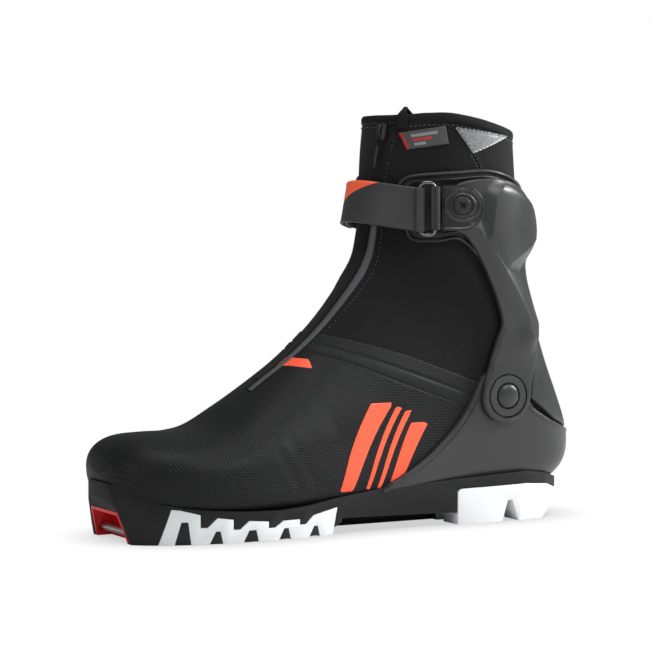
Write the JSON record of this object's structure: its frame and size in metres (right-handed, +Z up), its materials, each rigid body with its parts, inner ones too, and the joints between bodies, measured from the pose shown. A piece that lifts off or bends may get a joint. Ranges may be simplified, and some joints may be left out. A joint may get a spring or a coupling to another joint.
{
  "type": "cross country ski boot",
  "caption": "Left skating boot for cross country skis: zipped soft upper, hinged ankle cuff with strap, heel counter, lugged sole and a binding bar at the toe.",
  "frame": {"origin": "middle of the heel tread's resting face, on the ground under the ankle hinge", "axes": "+Z up, +Y from the toe towards the heel, +X to the outer side of a left boot"},
  "size_m": [0.1001, 0.2979, 0.2425],
  "materials": {
    "black_rubber": "matte",
    "white_rubber": "satin",
    "red_plastic": "satin",
    "steel": "brushed",
    "vamp_fabric": "perforated, matte",
    "softshell": "woven, matte",
    "lining": "brushed knit",
    "webbing": "woven",
    "grey_plastic": "satin",
    "dark_plastic": "satin",
    "strap_rubber": "satin",
    "label": "matte",
    "reflector": "reflective",
    "board": "matte"
  },
  "bodies": {
    "boot": {"outsole": "black_rubber", "forefoot_tread_outer": "white_rubber", "forefoot_tread_inner": "white_rubber", "heel_tread": "white_rubber", "toe_insert": "red_plastic", "binding_bar": "steel", "vamp": "vamp_fabric", "ankle_cover": "softshell", "ankle_gusset": "softshell", "achilles_panel": "vamp_fabric", "heel_tab": "red_plastic", "heel_sock": "softshell", "inner_boot": "lining", "tongue": "lining", "lace": "webbing", "lasting_board": "board", "footbed": "lining", "heel_counter": "grey_plastic", "pivot_stud_outer": "grey_plastic", "pivot_stud_inner": "grey_plastic", "pivot_washer_outer": "grey_plastic", "pivot_washer_inner": "grey_plastic", "zip_lower": "webbing", "zip_middle": "webbing"},
    "cuff": {"cuff_shell": "grey_plastic", "cuff_frame": "dark_plastic", "collar": "softshell", "collar_binding": "webbing", "collar_lining": "lining", "ankle_strap": "strap_rubber", "buckle_screw": "dark_plastic", "strap_screw": "dark_plastic", "zip_upper": "webbing", "pull_loop": "webbing", "woven_label": "label", "reflective_patch": "reflector"},
    "buckle_tab": {"buckle_tab": "dark_plastic"},
    "strap_ring": {"strap_ring": "steel"},
    "strap_flap": {"strap_flap": "strap_rubber"},
    "zip_slider": {"zip_slider": "steel"},
    "zip_puller": {"zip_puller": "webbing"}
  },
  "joints": [
    {"name": "cuff_flex", "type": "hinge", "parent": "boot", "child": "cuff", "pos_m": [0, -0.002, 0.0743], "axis": [1, 0, 0], "range_deg": [-4, 16], "deforming": ["ankle_gusset", "achilles_panel", "heel_tab", "zip_middle"]},
    {"name": "tab_swivel", "type": "hinge", "parent": "cuff", "child": "buckle_tab", "pos_m": [0.04492, -0.0355, 0.185], "axis": [0.9881, -0.1536, 0], "range_deg": [-5, 5]},
    {"name": "ring_swing", "type": "hinge", "parent": "buckle_tab", "child": "strap_ring", "pos_m": [0.04222, -0.05146, 0.183], "axis": [0, 0, 1], "range_deg": [0, 40]},
    {"name": "strap_open", "type": "hinge", "parent": "strap_ring", "child": "strap_flap", "pos_m": [0.03779, -0.05883, 0.1831], "axis": [0, 0, 1], "range_deg": [0, 100]},
    {"name": "zip_slide", "type": "slide", "parent": "cuff", "child": "zip_slider", "axis": [-0.1569, -0.1469, -0.9766], "range_m": [0, 0.02]},
    {"name": "puller_swing", "type": "hinge", "parent": "zip_slider", "child": "zip_puller", "pos_m": [0.01675, -0.07416, 0.22747], "axis": [-0.9203, -0.3911, 0], "range_deg": [0, 120]}
  ]
}
